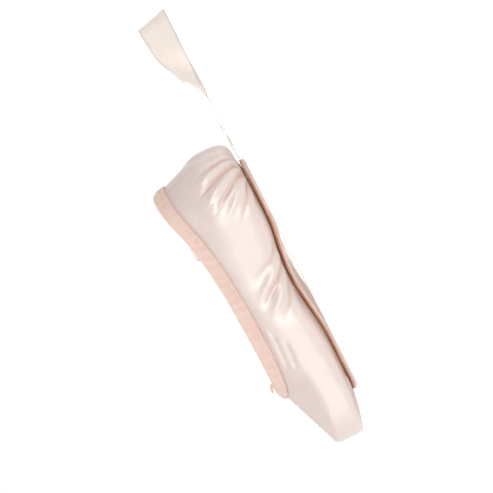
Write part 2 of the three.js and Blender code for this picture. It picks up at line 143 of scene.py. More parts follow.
def levelSpline(places, values):    # cubic, level at both ends
    places, values = np.array(places, float), np.array(values, float)
    count = len(places)
    rows, right = np.eye(count), np.zeros(count)
    for i in range(1, count - 1):
        before, after = places[i] - places[i - 1], places[i + 1] - places[i]
        rows[i, i - 1:i + 2] = after, 2 * (before + after), before
        right[i] = 3 * (values[i] - values[i - 1]) * after / before
        right[i] += 3 * (values[i + 1] - values[i]) * before / after
    slope = np.linalg.solve(rows, right)

    def at(place):
        place = np.clip(place, places[0], places[-1])
        i = np.clip(np.searchsorted(places, place) - 1, 0, count - 2)
        span = places[i + 1] - places[i]
        share = (place - places[i]) / span
        rise = values[i + 1] - values[i]
        bendIn, bendOut = slope[i] * span - rise, rise - slope[i + 1] * span
        return values[i] + share * rise + share * (1 - share) * (bendIn * (1 - share) + bendOut * share)
    return at


bodyHalfWidth = levelSpline(
    [last["heelPivotX"], last["waistX"], last["toePivotX"]],
    [last["heelHalfWidth"], last["waistHalfWidth"], last["ballHalfWidth"]])


def planLine():    # one side of the widest line, from the middle of the heel to the middle of the toe
    share = np.arange(last["planSamples"]) / last["planSamples"]
    quarter = math.pi / 2
    heelTurn, toeTurn = quarter * share, quarter * (1 - np.append(share, 1))
    waistX = last["heelPivotX"] + share * (last["toePivotX"] - last["heelPivotX"])
    heelRound = oblongRadius(heelTurn, last["heelReach"], last["heelHalfWidth"], last["heelSquareness"])
    pivotX = np.concatenate([
        np.full(len(share), last["heelPivotX"]), waistX, np.full(len(toeTurn), last["toePivotX"])])
    heading = np.concatenate([math.pi - heelTurn, np.full(len(share), quarter), toeTurn])
    radius = np.concatenate([heelRound, bodyHalfWidth(waistX), toeRadius(toeTurn)])
    x, y = pivotX + radius * np.cos(heading), radius * np.sin(heading)
    travelled = np.append(0, np.cumsum(np.hypot(np.diff(x), np.diff(y))))
    return {"pivotX": pivotX, "heading": heading, "radius": radius, "x": x, "travelled": travelled}


plan = planLine()
halfRound = plan["travelled"][-1]


def planAt(distance):
    return [np.interp(distance, plan["travelled"], plan[key]) for key in ("pivotX", "heading", "radius")]


def distanceAtX(x):
    reached = plan["x"] >= x - 1e-6
    return plan["travelled"][np.argmax(reached)] if reached.any() else halfRound


sectionPlaces = [distanceAtX(row[0]) for row in sectionRows.values()]
sectionPlaces[-1] = halfRound
sectionSizes = {
    column: levelSpline(sectionPlaces, [row[k] for row in sectionRows.values()])
    for k, column in enumerate(sectionColumns)}


def lift(x):    # underside of the outsole above the floor
    way = np.clip((x - last["archBackX"]) / (last["archFrontX"] - last["archBackX"]), 0, 1)
    height = last["archHeight"] * np.sin(math.pi * way) ** 2
    height = height + last["toeSpring"] * np.maximum(0, x - last["toeSpringFromX"]) ** 2
    return height + last["heelSpring"] * np.maximum(0, last["heelSpringFromX"] - x) ** 2


def placeRound(rounds):    # 0 to 1 from the middle of the heel and back to it
    turn = np.mod(rounds, 1)
    side = np.where(turn <= 0.5, 1.0, -1.0)
    return side, np.where(side > 0, turn, 1 - turn) * 2 * halfRound


def toward(start, end, length):
    return start + unit(end - start) * length[..., None]


def easedCorner(start, corner, end, share):
    hold = [start]
    hold += [start + (corner - start) * last[key] for key in ("easeStart", "easeMiddle")]
    hold += [end + (corner - end) * last[key] for key in ("easeMiddle", "easeStart")]
    hold += [end]
    share, top = share[..., None], len(hold) - 1
    weights = [math.comb(top, k) * share ** k * (1 - share) ** (top - k) for k in range(len(hold))]
    return sum(weight * point for weight, point in zip(weights, hold))


def sectionPoint(distance, t):    # (radius, height) for t from 0, the lasted edge, to 5, the top edge
    distance, t = np.broadcast_arrays(distance, t)
    pivotX, heading, radius = planAt(distance)
    size = {column: at(distance) for column, at in sectionSizes.items()}
    slope = {key: np.tan(np.radians(size[key])) for key in ("under", "rise")}
    bottomR = radius * size["sole"] - last["lastingMargin"]
    bottomZ = lift(pivotX + bottomR * np.cos(heading)) + last["soleThickness"] + last["gap"]
    topR = radius * size["top"]
    lowZ = bottomZ + (radius - bottomR) * slope["under"]
    highZ = size["topZ"] - (radius - topR) * slope["rise"]
    bottom, top = np.stack([bottomR, bottomZ], -1), np.stack([topR, size["topZ"]], -1)
    low, high = np.stack([radius, lowZ], -1), np.stack([radius, highZ], -1)
    fit = np.minimum(1, last["wallRounded"] * (highZ - lowZ) / (size["lower"] + size["upper"]))
    lowIn, lowOut = toward(low, bottom, size["lower"] * fit), toward(low, high, size["lower"] * fit)
    highIn, highOut = toward(high, low, size["upper"] * fit), toward(high, top, size["upper"] * fit)
    piece = np.minimum(last["sectionEnd"] - 1, np.floor(t)).astype(int)
    share = t - piece
    straight = share[..., None]
    forms = [
        bottom + (lowIn - bottom) * straight,
        easedCorner(lowIn, low, lowOut, share),
        lowOut + (highIn - lowOut) * straight,
        easedCorner(highIn, high, highOut, share),
        highOut + (top - highOut) * straight]
    return np.select([piece[..., None] == k for k in range(len(forms))], forms)


def bodyPoint(rounds, t):
    side, distance = placeRound(rounds)
    pivotX, heading, _ = planAt(distance)
    flat = sectionPoint(distance, t)
    radius, height = flat[..., 0], flat[..., 1]
    side, pivotX, heading = (np.broadcast_to(part, radius.shape) for part in (side, pivotX, heading))
    return np.stack([pivotX + radius * np.cos(heading), side * radius * np.sin(heading), height], -1)


def bodyFrame(rounds, t, tStep=0.02, roundStep=0.0006):    # point, way up and way out
    rounds = rounds[:, None]
    point = bodyPoint(rounds, t)
    above, below = np.minimum(last["sectionEnd"], t + tStep), np.maximum(0, t - tStep)
    up = bodyPoint(rounds, above) - bodyPoint(rounds, below)
    along = bodyPoint(rounds + roundStep, t) - bodyPoint(rounds - roundStep, t)
    return point, unit(up), unit(np.cross(up, along))


def depthToT(rounds, depth, samples=300):    # t at a depth below the top edge, down the section
    _, distance = placeRound(rounds)
    t = np.linspace(last["sectionEnd"], 0, samples)
    line = sectionPoint(distance[:, None], t[None, :])
    run = np.cumsum(np.linalg.norm(np.diff(line, axis=1), axis=-1), axis=1)
    depth = np.broadcast_to(depth, (len(distance), np.shape(depth)[-1]))
    return np.array([np.interp(depth[i], np.append(0, run[i]), t) for i in range(len(distance))])


def spacedRounds(count, look, samples=2000):    # closer together round the toe and the heel
    distance = np.linspace(0, halfRound, samples)
    near = 1 + look["toeExtra"] * bell(halfRound - distance, look["extraReach"])
    near = near + look["heelExtra"] * bell(distance, look["extraReach"])
    run = np.append(0, np.cumsum((near[1:] + near[:-1]) / 2))
    half = np.interp(np.linspace(0, run[-1], count // 2 + 1), run, distance) / (2 * halfRound)
    return np.concatenate([half[:-1], 1 - half[:0:-1]])


print(f"last: {2 * halfRound:.0f} mm round the widest line")


def operator(operation, reflected=False):    # one of Val's operators
    def work(self, other):
        return self.math(operation, *((other, self) if reflected else (self, other)))
    return work


# small class for shader values: arithmetic on them adds Math nodes
class Val:
    __add__, __radd__ = operator("ADD"), operator("ADD", reflected=True)
    __sub__, __rsub__ = operator("SUBTRACT"), operator("SUBTRACT", reflected=True)
    __mul__, __rmul__ = operator("MULTIPLY"), operator("MULTIPLY", reflected=True)

    def __init__(self, shade, socket):
        self.shade, self.socket = shade, socket

    def math(self, operation, *parts):
        return self.shade.node("ShaderNodeMath", {"operation": operation}, dict(enumerate(parts)))

    def sine(self):
        return self.math("SINE", self)

    def absolute(self):
        return self.math("ABSOLUTE", self)

    def between(self, low, high):    # 0 below low, 1 above high, eased
        return self.shade.node("ShaderNodeMapRange", {"interpolation_type": "SMOOTHSTEP"},
                               {"Value": self, "From Min": low, "From Max": high})


class Shade:
    def __init__(self, name, look=None, owner=None, surface="Principled BSDF", **constants):
        self.material = owner or bpy.data.materials.new(name)
        self.material.use_nodes = True
        self.tree = self.material.node_tree
        self.surface = self.tree.nodes[surface]
        for socket, value in constants.items():
            self.surface.inputs[socket.replace("_", " ")].default_value = value
        self.look, self.values = look or {}, {}
        for key, (scale, detail) in self.look.get("noises", {}).items():
            self.values[key] = self.noise(self.place(), scale, detail)

    def node(self, kind, settings=None, sockets=None, out=0):
        made = self.tree.nodes.new(kind)
        for key, value in (settings or {}).items():
            setattr(made, key, value)
        for key, value in (sockets or {}).items():
            if isinstance(value, Val):
                self.tree.links.new(value.socket, made.inputs[key])
            else:
                made.inputs[key].default_value = value
        return Val(self, made.outputs[out])

    def blend(self, factor, first, second):    # 0, 6, 7 and 2 are a colour mix's factor, inputs and result
        full = [part if isinstance(part, Val) else (*part, 1) for part in (first, second)]
        return self.node("ShaderNodeMix", {"data_type": "RGBA"}, {0: factor, 6: full[0], 7: full[1]}, out=2)

    def stretched(self, vector, scale):
        return self.node("ShaderNodeVectorMath", {"operation": "MULTIPLY"}, {0: vector, 1: scale})

    def noise(self, vector, scale, detail):    # scale: one number, or one for each axis
        vector = self.stretched(vector, np.broadcast_to(scale, 3).tolist())
        return self.node("ShaderNodeTexNoise", {}, {"Vector": vector, "Scale": 1, "Detail": detail})

    def place(self):
        return self.node("ShaderNodeTexCoord", out="Object")

    def mark(self, name):
        return self.node("ShaderNodeAttribute", {"attribute_name": name}, out="Fac")

    def chart(self):
        return self.node("ShaderNodeUVMap", {"uv_map": "chart"})

    def split(self, vector):    # x, y and z of a vector
        axes = self.node("ShaderNodeSeparateXYZ", {}, {0: vector}).socket.node
        return [Val(self, axes.outputs[axis]) for axis in "XYZ"]

    def tones(self, key, band, first, second):
        return self.blend(self.values[key].between(*band), first, second)

    def finish(self):    # links what the look lists, and gives the material
        look, values = self.look, self.values
        colour = self.tones(*look["tones"])
        for key, band, share, tone in look.get("layers", []):
            mask = values[key].between(*band) if band else values[key]
            over = self.tones(*tone) if isinstance(tone[0], str) else tone
            colour = self.blend(mask * share, colour, over)
        self.to("Base Color", colour)
        if "rough" in look:
            rough, parts = look["rough"]
            for key, amount in parts.items():
                rough = rough + values[key] * amount
            self.to("Roughness", rough)
        under = {}
        for key, depth, strength in look.get("bumps", []):
            sockets = {"Height": values[key], "Distance": depth, "Strength": strength} | under
            under = {"Normal": self.node("ShaderNodeBump", {}, sockets)}
        for socket, normal in under.items():
            self.to(socket, normal)
        return self.material

    def to(self, socket, value):
        self.tree.links.new(value.socket, self.surface.inputs[socket])


def rgb(*screen):    # screen values 0 to 255 as linear light
    return tuple(((c / 255 + 0.055) / 1.055) ** 2.4 for c in screen)


# mesh helpers: grids are (rounds, steps, 3) in millimetres, each round a closed section
def gridFaces(rounds, steps, closed):    # closed: the last section meets the first
    i = np.arange(rounds if closed else rounds - 1)[:, None]
    j = np.arange(steps)[None, :]
    nextI, nextJ = (i + 1) % rounds, (j + 1) % steps
    corners = [i * steps + j, i * steps + nextJ, nextI * steps + nextJ, nextI * steps + j]
    return np.stack([np.broadcast_to(c, (i.shape[0], j.shape[1])) for c in corners], -1).reshape(-1, 4)


def gridChart(along, across):    # along (rounds + 1), across (steps + 1): one pair for each face corner
    i, j = np.arange(len(along) - 1)[:, None], np.arange(len(across) - 1)[None, :]
    u = [along[i], along[i], along[i + 1], along[i + 1]]
    v = [across[j], across[j + 1], across[j + 1], across[j]]
    shape = (len(along) - 1, len(across) - 1)
    pairs = [np.stack([np.broadcast_to(a, shape), np.broadcast_to(b, shape)], -1) for a, b in zip(u, v)]
    return np.stack(pairs, 2).reshape(-1, 2)


def makePiece(name, points, faces, materials, chart=None, marks=None, faceMaterials=None):
    mesh = bpy.data.meshes.new(name)
    places = np.asarray(points).reshape(-1, 3) * mm
    mesh.from_pydata(places.tolist(), [], [list(map(int, face)) for face in faces])
    for material in materials:
        mesh.materials.append(material)
    mesh.polygons.foreach_set("use_smooth", np.ones(len(mesh.polygons), bool))
    if faceMaterials is not None:
        mesh.polygons.foreach_set("material_index", np.asarray(faceMaterials, np.int32))
    if chart is not None:
        layer = mesh.uv_layers.new(name="chart")
        layer.data.foreach_set("uv", np.asarray(chart, np.float32).ravel())
    for key, values in (marks or {}).items():
        mark = mesh.attributes.new(key, "FLOAT", "POINT")
        mark.data.foreach_set("value", np.asarray(values, np.float32).ravel())
    mesh.validate()
    mesh.update()
    piece = bpy.data.objects.new(name, mesh)
    bpy.context.collection.objects.link(piece)
    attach(piece, "root")
    return piece


def tubeFaces(rounds, steps, flip=False):    # a row of closed sections with a cap at each end
    faces = gridFaces(rounds, steps, closed=False).tolist()
    faces += [list(range(steps)), [(rounds - 1) * steps + j for j in range(steps - 1, -1, -1)]]
    return [face[::-1] for face in faces] if flip else faces


# one stitch: aim is how far to either side its heading is taken, bow and dip are in thicknesses
stitchForm = {"rings": 7, "sides": 6, "aim": 0.4, "bluntness": 1.04, "bow": 0.45, "dip": 0.75}


def makeStitches(name, line, outs, sewn, material):    # short bowed stitches along a line, in one mesh
    form, run = stitchForm, runAlong(line)
    count = max(1, int(run[-1] / sewn["every"]))
    places = (np.arange(count) + 0.5) * run[-1] / count
    middle, out = rowsAt(places, run, line), unit(rowsAt(places, run, outs))
    way = unit(rowsAt(places + form["aim"], run, line) - rowsAt(places - form["aim"], run, line))
    side = np.cross(out, way)
    share = np.linspace(-1, 1, form["rings"])[None, :, None]
    turn = turns(form["sides"])[None, None, :]
    thick = sewn["thick"] / 2 * np.sqrt(form["bluntness"] - share ** 4)
    rise = sewn["thick"] * (form["bow"] - form["dip"] * share ** 2)
    points = middle[:, None, None, :]
    reach, proud, wide = share * sewn["length"] / 2, rise + thick * np.sin(turn), thick * np.cos(turn)
    for direction, amount in ((way, reach), (out, proud), (side, wide)):
        points = points + direction[:, None, None, :] * amount[..., None]
    one = tubeFaces(form["rings"], form["sides"])
    each = form["rings"] * form["sides"]
    faces = [[k * each + corner for corner in face] for k in range(count) for face in one]
    piece = makePiece(name, points, faces, [material])
    print(f"{name}: {count} stitches")


# a finish lists its noises (scale in waves to a metre, detail), tones (value, band, two colours),
# layers (value, band, share, colour or tones), roughness (base, share of each value)
# and bumps (value, depth in metres, strength)
evenBand = (0.3, 0.7)
satinLook = {
    "noises": {
        "thread": ((160, 3600, 3600), 2), "slub": ((18, 380, 380), 2), "slack": ((20, 34, 34), 1),
        "cloud": (30, 2)},
    "tones": ("cloud", evenBand, rgb(216, 196, 187), rgb(222, 204, 195)),
    "layers": [
        # the second layer is painted shade: darker peach laid into the troughs of the folds
        ("slub", (0.55, 0.8), 0.25, rgb(231, 216, 208)), ("trough", (0.12, 0.9), 0.75, rgb(208, 167, 149))],
    "rough": (0.26, {"cloud": 0.06, "thread": 0.07}),
    "bumps": [("thread", 0.00003, 0.6), ("slack", 0.0008, 0.45)],
}


def makeSatin(look):
    shade = Shade("satin", look, IOR=2.0, Specular_IOR_Level=1.0)
    # painted shade: a mask that is high where the folds sink in
    shade.values["trough"] = 0 - shade.mark("fold")
    return shade.finish()


liningLook = {
    "noises": {"cloud": (60, 3)}, "tones": ("cloud", evenBand, rgb(247, 231, 219), rgb(251, 240, 230)),
    "rough": (0.8, {"cloud": 0.1}), "bumps": [("weave", 0.00012, 0.7)], "weaveScale": (2600, 2600, 2600),
}


def makeLining(look):
    shade = Shade("lining", look, Sheen_Weight=0.2)
    x, y, z = shade.split(shade.stretched(shade.place(), look["weaveScale"]))
    shade.values["weave"] = x.sine() * (z.sine() * y.sine())
    return shade.finish()


tapeLook = {
    "noises": {"gather": ((240, 240, 60), 2)},
    "tones": ("gather", evenBand, rgb(224, 191, 177), rgb(229, 200, 188)),
    # both layers are painted shade: a shadow line inside the turned top edge, and shade along the hem
    "layers": [("paintedInnerShadow", None, 0.85, rgb(217, 148, 118)), ("hem", None, 0.6, rgb(217, 170, 152))],
    "rough": (0.54, {"gather": 0.14}), "bumps": [("weave", 0.00006, 0.5), ("gather", 0.0002, 0.4)],
    "rib": 11, "hemShadeBand": (0.25, 0.95),
    "innerShadowBands": ((1.16, 1.24), (1.36, 1.46)),    # where the painted shadow line inside starts and ends, in reaches
}


def makeTape(reach, look):    # reach: length of tape from hem to top fold, along the section
    shade = Shade("binding tape", look, Sheen_Weight=0.25)
    along, across, _ = shade.split(shade.chart())
    warp, weft = along * look["rib"], across * look["rib"]
    # painted shadow: a darker band inside, just past the top fold
    started, ended = (across.between(reach * low, reach * high) for low, high in look["innerShadowBands"])
    shade.values["paintedInnerShadow"] = started * (1 - ended)
    # painted shade along the hem, where the tape turns in against the satin
    shade.values["hem"] = 1 - across.between(*look["hemShadeBand"])
    shade.values["weave"] = (warp + weft).sine() * (warp - weft).sine()
    return shade.finish()


leatherLook = {
    "noises": {"nap": (2400, 3), "streak": ((70, 150, 150), 4), "cloud": (45, 4), "rubbed": (16, 2)},
    "tones": ("cloud", evenBand, rgb(221, 201, 190), rgb(231, 213, 203)),
    "layers": [
        ("streak", (0.48, 0.72), 0.28, rgb(208, 184, 170)), ("rubbed", (0.52, 0.74), 0.3, rgb(203, 180, 168)),
        # dye and painted shade: a brown band along the top of the sole's edge, under the upper
        ("dyeAndShade", None, 1, ("streak", (0.35, 0.7), rgb(188, 124, 90), rgb(208, 152, 119)))],
    "rough": (0.58, {"streak": 0.2, "dyeAndShade": -0.12}), "dyeAndShadeBand": (0.35, 0.75), "ragged": 0.5,
    "bumps": [("streak", 0.0002, 0.4), ("nap", 0.00012, 0.5)],
}


def makeSoleLeather(look):
    shade = Shade("sole leather", look)
    ragged = shade.mark("edge") + shade.values["streak"] * look["ragged"] - look["ragged"] / 2
    # the brown edge band, both dye and painted shade of the gap under the upper
    shade.values["dyeAndShade"] = ragged.between(*look["dyeAndShadeBand"])
    return shade.finish()


threadLook = {"noises": {"ply": (1800, 2)}, "bumps": [("ply", 0.0001, 0.5)], "paler": 1.12}


def makeThread(name, colour):
    paler = tuple(min(1, c * threadLook["paler"]) for c in colour)
    look = threadLook | {"tones": ("ply", evenBand, colour, paler)}
    return Shade(name, look, Roughness=0.65, Sheen_Weight=0.3).finish()


ribbonLook = {    # thread, a noise, and ribbing are to a millimetre of the chart, the insets in millimetres
    "noises": {"cloud": (50, 2)}, "tones": ("cloud", evenBand, rgb(237, 225, 216), rgb(241, 231, 223)),
    "layers": [("thread", (0.4, 0.7), 0.35, rgb(228, 213, 202)), ("edge", None, 0.7, rgb(221, 203, 190))],
    "rough": (0.4, {"edge": 0.2, "cloud": 0.05}), "bumps": [("weave", 0.00005, 0.7)],
    "thread": ((0.12, 5, 1), 2), "edgeInsets": (1.1, 0.7), "ribbing": 14,
}


def makeRibbonSatin(width, look):
    shade = Shade("ribbon satin", look, IOR=1.45, Specular_IOR_Level=0.35, Sheen_Weight=0.1)
    chart = shade.chart()
    along, across, _ = shade.split(chart)
    edge = (across - width / 2).absolute().between(*(width / 2 - inset for inset in look["edgeInsets"]))
    thread = shade.noise(chart, *look["thread"])
    ribbing = (along * look["ribbing"]).sine()
    shade.values |= {"edge": edge, "thread": thread, "weave": ribbing * edge + thread}
    return shade.finish()


satin = makeSatin(satinLook)
lining = makeLining(liningLook)
print("finishes made")


# drawstring: the knot at the middle of the throat, points across, down the vamp and out of it
drawstring = {
    "diameter": 1.3, "depth": 5.2, "lift": 1.1, "strands": 3, "strandDepth": 0.1, "twist": 1.9,
    "sides": 20, "steps": 300,
    "knot": [
        (-4.6, 9.2, 0), (-3.1, 5.4, 0.1), (-1.7, 2, 0.4), (0.7, -1.7, 1.1), (2.3, -0.9, 2.4), (0.9, 1.5, 3),
        (-1.9, 1, 2.6), (-2.4, -1.2, 1.4), (-0.6, -2.6, 0.2), (1.6, -1, -0.2), (2.5, 3.2, 0), (4.3, 8.3, 0)],
}
binding = {"depth": 8.5, "thickness": 0.9, "crown": 0.5}


def smoothRoute(points, steps, extras=None, fine=40):    # centripetal curve through the points, equal steps
    points = np.array(points, float)
    padded = np.vstack([2 * points[0] - points[1], points, 2 * points[-1] - points[-2]])
    knots = np.append(0, np.cumsum(np.maximum(1e-6, np.linalg.norm(np.diff(padded, axis=0), axis=1)) ** 0.5))
    line, place = [], []
    for k in range(1, len(padded) - 2):
        p0, p1, p2, p3 = padded[k - 1:k + 3]
        k0, k1, k2, k3 = knots[k - 1:k + 3]
        for share in np.arange(fine) / fine:
            at = k1 + share * (k2 - k1)
            a1 = p0 + (p1 - p0) * (at - k0) / (k1 - k0)
            a2 = p1 + (p2 - p1) * (at - k1) / (k2 - k1)
            a3 = p2 + (p3 - p2) * (at - k2) / (k3 - k2)
            b1 = a1 + (a2 - a1) * (at - k0) / (k2 - k0)
            b2 = a2 + (a3 - a2) * (at - k1) / (k3 - k1)
            line.append(b1 + (b2 - b1) * (at - k1) / (k2 - k1))
            place.append(k - 1 + share)
    line.append(points[-1])
    place.append(len(points) - 1)
    line = np.array(line)
    run = runAlong(line)
    even = np.linspace(0, run[-1], steps + 1)
    out = rowsAt(even, run, line)
    if extras is None:
        return out, run[-1]
    stops = np.interp(even, run, place)
    return out, run[-1], np.interp(stops, np.arange(len(points)), extras)


def carriedFrames(line, lead=(0.3, 0.2, 0.9)):    # two vectors square to a line, carried along without twist
    tangent = unit(np.gradient(line, axis=0))
    side = np.zeros_like(line)
    side[0] = unit(np.cross(tangent[0], lead))
    for k in range(1, len(line)):
        side[k] = unit(side[k - 1] - tangent[k] * np.dot(side[k - 1], tangent[k]))
    return side, np.cross(tangent, side)


def makeDrawstring(look):
    middle = np.array([0.5])
    t = depthToT(middle, [look["depth"]])
    point, up, out = (part[0, 0] for part in bodyFrame(middle, t))
    seat = last["gap"] + binding["thickness"] + binding["crown"] + look["lift"]
    across = np.array([0, 1, 0])
    route = [point + out * (seat + o) - up * d + across * a for a, d, o in look["knot"]]
    line, length = smoothRoute(route, look["steps"])
    side, other = carriedFrames(line)
    turn = turns(look["sides"])[None, :]
    run = np.linspace(0, length, len(line))[:, None]
    strand = 0.5 + 0.5 * np.cos(look["strands"] * turn + look["twist"] * run)
    radius = look["diameter"] / 2 - look["strandDepth"] * strand
    grid = line[:, None] + radius[..., None] * (
        np.cos(turn)[..., None] * side[:, None] + np.sin(turn)[..., None] * other[:, None])
    faces = tubeFaces(len(line), look["sides"])
    thread = makeThread("drawstring cord", rgb(238, 205, 186))
    piece = makePiece("drawstring_cord", grid, faces, [thread])
    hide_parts("drawstring")
    print(f"drawstring: {length:.1f} mm")


makeDrawstring(drawstring)

# ribbons: sewn inside the quarters, let down together over the far side and laid on the floor
ribbon = {
    "width": 22, "solidThickness": 0.6, "thickness": 0.36, "sewnX": -50, "sewnDepths": (23, 15, 7.6),
    "clearance": 0.7, "saddle": 2.4, "stack": 2.6, "steepBelow": 0.5,
    "steps": 420, "columns": 12, "cutSlant": 9, "leanEase": 16, "lowest": 0.75, "settle": 0.5,
    "freeFrom": 70, "freeOver": 60, "edgeFrom": 0.49, "edgeThin": 0.45,
    "curl": {"height": 0.35, "steady": 0.6, "vary": 0.4, "wave": 17, "phase": 1.3},
    "ripple": {"height": 0.22, "wave": 5.3, "wander": 3, "wanderWave": 31},
    "stitch": {"every": 2.2, "length": 1.5, "thick": 0.3, "inset": 1.6, "run": 13, "samples": 40},
    "nearAcross": [(-50, 16, 38, 0), (-50, 5, 34.5, 0), (-50, -6, 36, 0), (-50, -15, 43.5, 0)],
    "nearRoute": [
        (-49, -43.5, 24, 0), (-48, -46.5, 13, 0), (-44, -53, 6, 0), (-33, -64, 4, 0), (-12, -73, 1.5, 6),
        (16, -75, 3.2, 0), (45, -72, 1.2, 4), (71, -70, 3, 24), (95, -75, 1.5, 62), (109, -91, 1.5, 80),
        (95, -107, 1.5, 62), (70, -111, 3, 22), (42, -108, 1.2, 0), (12, -104, 2.8, 0), (-29, -105, 1.2, 0)],
    "farRoute": [
        (-51, -39.5, 24, 0), (-52, -41.5, 10, 0), (-54, -48, 2.2, 0), (-60, -60, 1.2, 0), (-76, -75, 2.8, 0),
        (-101, -83, 1.2, 4), (-127, -84, 3, 24), (-151, -90, 1.5, 62), (-167, -109, 1.5, 80),
        (-151, -128, 1.5, 62), (-125, -135, 3, 24), (-97, -135, 1.2, 0), (-67, -132, 3.2, 0),
        (-38, -131, 1.2, 0), (-9, -134, 2.8, 0), (23, -138, 1.2, 0), (43, -136, 1.2, 0)],
}


def roundAtX(x, side):
    way = distanceAtX(x) / (2 * halfRound)
    return np.array([way if side > 0 else 1 - way])


def sewnStops(side, look):    # inside the quarter, from the sewn end up to the binding
    place = roundAtX(look["sewnX"], side)
    point, _, out = bodyFrame(place, depthToT(place, list(look["sewnDepths"])))
    inside = (last["wall"] + last["gap"] + binding["thickness"] + look["clearance"]
              + look["solidThickness"] / 2)
    return [(*p, 0) for p in point[0] - out[0] * inside]


def overEdgeStops(side, stack, look):    # over the binding, from inside to outside
    place = roundAtX(look["sewnX"], side)
    topEdge = np.array([float(last["sectionEnd"])])
    point, up, out = (part[0, 0] for part in bodyFrame(place, topEdge))
    tape = last["gap"] + binding["thickness"] + binding["crown"]
    clear = tape + look["clearance"] + look["solidThickness"] / 2 + stack
    proud = clear + look["saddle"]
    moves = [(-last["wall"] - clear, 0), (-last["wall"] / 2, proud), (proud, 0), (proud, -binding["depth"])]
    return [(*(point + out * o + up * u), 0) for o, u in moves]


def routeStops(rows, look):    # z in the rows is the lower edge's height
    return [(x, y, z + look["width"] / 2 * math.sin(math.radians(lean)), lean) for x, y, z, lean in rows]


def softened(values, reach):    # running mean, weighted to its middle
    weight = np.hanning(2 * reach + 1)
    return np.convolve(np.pad(values, reach, mode="edge"), weight / weight.sum(), "valid")


def makeRibbon(name, node, stops, look, material):
    stops = np.array(stops)
    line, length, lean = smoothRoute(stops[:, :3], look["steps"], stops[:, 3])
    reach = int(look["leanEase"] / length * look["steps"])
    lean = softened(lean, reach)
    tangent = unit(np.gradient(line, axis=0))
    square = np.zeros_like(line)
    across = np.array([1.0, 0, 0])
    for k, way in enumerate(tangent):
        level = math.hypot(way[0], way[1])
        if level > look["steepBelow"]:
            side = np.array([-way[1], way[0], 0]) / level
            across = -side if np.dot(across, side) < 0 else side
        flat = unit(across - way * np.dot(across, way))
        tilt = math.radians(lean[k])
        square[k] = flat * math.cos(tilt) + np.cross(way, flat) * math.sin(tilt)
    face = np.cross(tangent, square)
    sunk = np.maximum(0, look["lowest"] + look["width"] / 2 * np.abs(square[:, 2]) - line[:, 2])
    line[:, 2] += softened(sunk, reach) + sunk * look["settle"]
    columns = np.linspace(-0.5, 0.5, look["columns"] + 1)
    run = np.linspace(0, length, len(line))
    cut = run[:, None] * (1 - look["cutSlant"] / length * (columns[None, :] + 0.5))
    middle, wide, proud = (rowsAt(cut, run, rows) for rows in (line, square, face))
    free = eased((cut - look["freeFrom"]) / look["freeOver"])
    edge = (2 * columns[None, :]) ** 2
    curl, ripple = look["curl"], look["ripple"]
    swing = curl["steady"] + curl["vary"] * np.sin(cut / curl["wave"] + curl["phase"])
    wander = ripple["wander"] * np.sin(cut / ripple["wanderWave"])
    lively = curl["height"] * edge * swing * free
    lively = lively + ripple["height"] * np.sin(cut / ripple["wave"] + wander) * edge * free
    base = middle + wide * (columns * look["width"])[None, :, None] + proud * lively[..., None]
    thin = np.where(np.abs(columns) > look["edgeFrom"], look["edgeThin"], 1)
    half = proud * (look["thickness"] / 2) * thin[None, :, None]
    section = np.concatenate([base + half, (base - half)[:, ::-1]], 1)
    steps = section.shape[1]
    faces = tubeFaces(len(line), steps, flip=True)
    width = (columns + 0.5) * look["width"]
    chart = gridChart(run, np.concatenate([width, width[::-1], width[:1]])).reshape(-1, 4, 2)[:, ::-1]
    chart = np.concatenate([chart.reshape(-1, 2), np.zeros((2 * steps, 2))])
    piece = makePiece(name, section, faces, [material], chart)
    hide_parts(node)
    print(f"{name}: {length:.0f} mm, lowest {section[..., 2].min():.2f} mm")
    makeRibbonStitches(name, line, square, face, run, look)


def makeRibbonStitches(name, line, square, face, run, look):    # the square of stitches at the sewn end
    sewn = look["stitch"]
    wide, inset, end = look["width"] / 2 - sewn["inset"], sewn["inset"], sewn["run"]
    corners = [(inset, -wide), (end, -wide), (end, wide), (inset, wide), (inset, -wide)]
    pairs = zip(corners[:-1], corners[1:])
    route = np.concatenate([np.linspace(start, stop, sewn["samples"]) for start, stop in pairs])
    middle, wideWay, out = (rowsAt(route[:, 0], run, rows) for rows in (line, square, face))
    inside = np.array([0, 0, middle[0, 2]]) - middle
    inward = np.where((out * inside).sum(1, keepdims=True) > 0, 1, -1) * out
    points = middle + wideWay * route[:, 1:] + inward * (look["thickness"] / 2)
    makeStitches(f"{name}_stitches", points, inward, sewn, ribbonThread)


ribbonSatin = makeRibbonSatin(ribbon["width"], ribbonLook)
ribbonThread = makeThread("ribbon thread", rgb(236, 220, 209))
nearStops = sewnStops(1, ribbon) + routeStops(ribbon["nearAcross"], ribbon)
nearStops += overEdgeStops(-1, ribbon["stack"], ribbon) + routeStops(ribbon["nearRoute"], ribbon)
farStops = sewnStops(-1, ribbon) + overEdgeStops(-1, 0, ribbon) + routeStops(ribbon["farRoute"], ribbon)
makeRibbon("near_ribbon", "ribbon_near", nearStops, ribbon, ribbonSatin)
makeRibbon("far_ribbon", "ribbon_far", farStops, ribbon, ribbonSatin)

